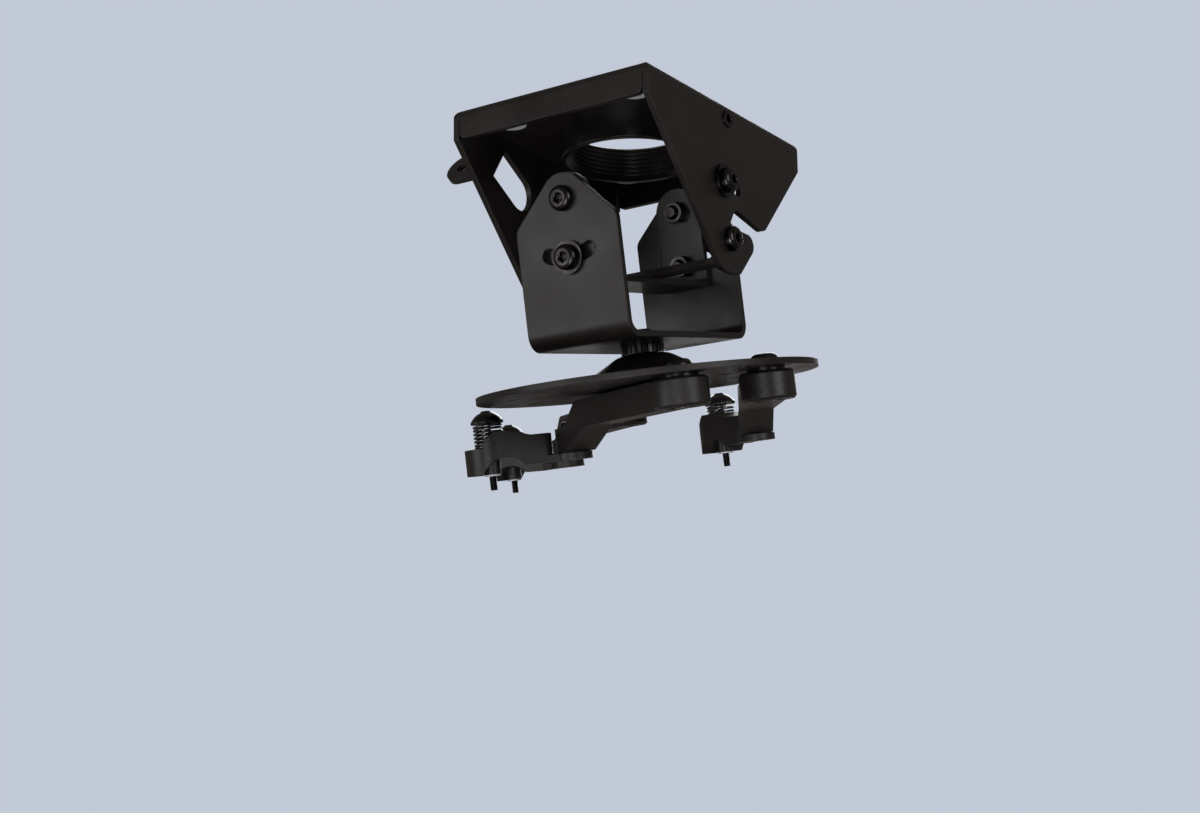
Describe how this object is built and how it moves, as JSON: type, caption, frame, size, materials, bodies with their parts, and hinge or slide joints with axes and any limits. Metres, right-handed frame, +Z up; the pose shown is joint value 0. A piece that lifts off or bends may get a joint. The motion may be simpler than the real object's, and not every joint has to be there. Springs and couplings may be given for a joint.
{
  "type": "projector ceiling mount",
  "caption": "Ceiling mount with a threaded pipe collar, pitch and roll cradle, swivelling disc and cast arms ending in spring-loaded foot screws.",
  "frame": {"origin": "middle of the threaded pipe collar at the top face of the ceiling bracket", "axes": "+Z up along the pipe, -Y towards the front plate of the yoke, +X along the pitch axis"},
  "size_m": [0.2715, 0.2226, 0.1703],
  "materials": {
    "powder_coat": "fine satin black powder coat on folded steel",
    "cast_black": "smooth satin black paint on cast metal",
    "thread_black": "black coated steel with a cut thread",
    "black_fastener": "glossy black oxide",
    "zinc": "bright zinc plate",
    "spring_steel": "dark bright spring wire"
  },
  "bodies": {
    "ceiling_bracket": {"ceiling_bracket": "powder_coat", "pipe_collar": "thread_black", "clinch_nuts": "zinc", "pipe_lock_screw": "black_fastener"},
    "cradle": {"pitch_strap": "powder_coat", "roll_strap": "powder_coat", "pitch_pivot_screws": "black_fastener", "pitch_pivot_nuts": "black_fastener", "pitch_lock_screws": "black_fastener", "pitch_lock_nuts": "black_fastener", "roll_pivot_screws": "black_fastener", "roll_pivot_nuts": "black_fastener", "roll_lock_screws": "black_fastener", "roll_lock_nuts": "black_fastener", "pitch_lock_washers": "black_fastener", "roll_lock_washers": "black_fastener"},
    "yoke": {"yoke": "powder_coat", "swivel_bolt": "black_fastener", "swivel_nut": "black_fastener", "serrated_ring": "black_fastener"},
    "disc": {"swivel_hub": "powder_coat", "spider_disc": "powder_coat", "arm_bolts": "black_fastener", "arm_nuts": "black_fastener", "arm_spacers": "black_fastener"},
    "arm_front": {"arm_front": "cast_black"},
    "link_front": {"foot_link_front": "cast_black", "link_bolt_front": "black_fastener", "foot_spring_front": "spring_steel"},
    "screw_front": {"foot_screw_front": "black_fastener", "foot_clip_front": "zinc"},
    "arm_side": {"arm_side": "cast_black"},
    "link_side": {"foot_link_side": "cast_black", "link_bolt_side": "black_fastener", "foot_spring_side": "spring_steel"},
    "screw_side": {"foot_screw_side": "black_fastener", "foot_clip_side": "zinc"},
    "arm_rear": {"arm_rear": "cast_black"},
    "link_rear": {"foot_link_rear": "cast_black", "link_bolt_rear": "black_fastener", "foot_spring_rear": "spring_steel"},
    "screw_rear": {"foot_screw_rear": "black_fastener", "foot_clip_rear": "zinc"}
  },
  "joints": [
    {"name": "pitch", "type": "hinge", "parent": "ceiling_bracket", "child": "cradle", "pos_m": [0, 0, -0.0667], "axis": [1, 0, 0], "range_deg": [-26.5, 5.5]},
    {"name": "roll", "type": "hinge", "parent": "cradle", "child": "yoke", "pos_m": [0, -0.00466, -0.04153], "axis": [0, 0.9833, 0.1822], "range_deg": [-24, 24]},
    {"name": "swivel", "type": "hinge", "parent": "yoke", "child": "disc", "pos_m": [0, 0.01079, -0.12491], "axis": [0, -0.1822, 0.9833], "continuous": true},
    {"name": "arm_swing_front", "type": "hinge", "parent": "disc", "child": "arm_front", "pos_m": [0.04596, -0.03357, -0.13781], "axis": [0, -0.1822, 0.9833], "range_deg": [0, 150]},
    {"name": "link_swing_front", "type": "hinge", "parent": "arm_front", "child": "link_front", "pos_m": [-0.05536, 0.02842, -0.15124], "axis": [0, -0.1822, 0.9833], "range_deg": [-60, 40]},
    {"name": "screw_press_front", "type": "slide", "parent": "link_front", "child": "screw_front", "axis": [0, -0.1822, 0.9833], "range_m": [-0.005, 0], "stiffness_N_per_m": 800, "springref_m": 0.002, "deforming": ["foot_spring_front"]},
    {"name": "arm_swing_side", "type": "hinge", "parent": "disc", "child": "arm_side", "pos_m": [0.065, 0.01163, -0.12943], "axis": [0, -0.1822, 0.9833], "range_deg": [-110, 4]},
    {"name": "link_swing_side", "type": "hinge", "parent": "arm_side", "child": "link_side", "pos_m": [0.00196, 0.11301, -0.13556], "axis": [0, -0.1822, 0.9833], "range_deg": [-120, 30]},
    {"name": "screw_press_side", "type": "slide", "parent": "link_side", "child": "screw_side", "axis": [0, -0.1822, 0.9833], "range_m": [-0.005, 0], "stiffness_N_per_m": 800, "springref_m": 0.002, "deforming": ["foot_spring_side"]},
    {"name": "arm_swing_rear", "type": "hinge", "parent": "disc", "child": "arm_rear", "pos_m": [-0.04596, 0.05682, -0.12106], "axis": [0, -0.1822, 0.9833], "range_deg": [-12, 30]},
    {"name": "link_swing_rear", "type": "hinge", "parent": "arm_rear", "child": "link_rear", "pos_m": [-0.13493, 0.136, -0.1313], "axis": [0, -0.1822, 0.9833], "range_deg": [-135, 68]},
    {"name": "screw_press_rear", "type": "slide", "parent": "link_rear", "child": "screw_rear", "axis": [0, -0.1822, 0.9833], "range_m": [-0.005, 0], "stiffness_N_per_m": 800, "springref_m": 0.002, "deforming": ["foot_spring_rear"]}
  ]
}
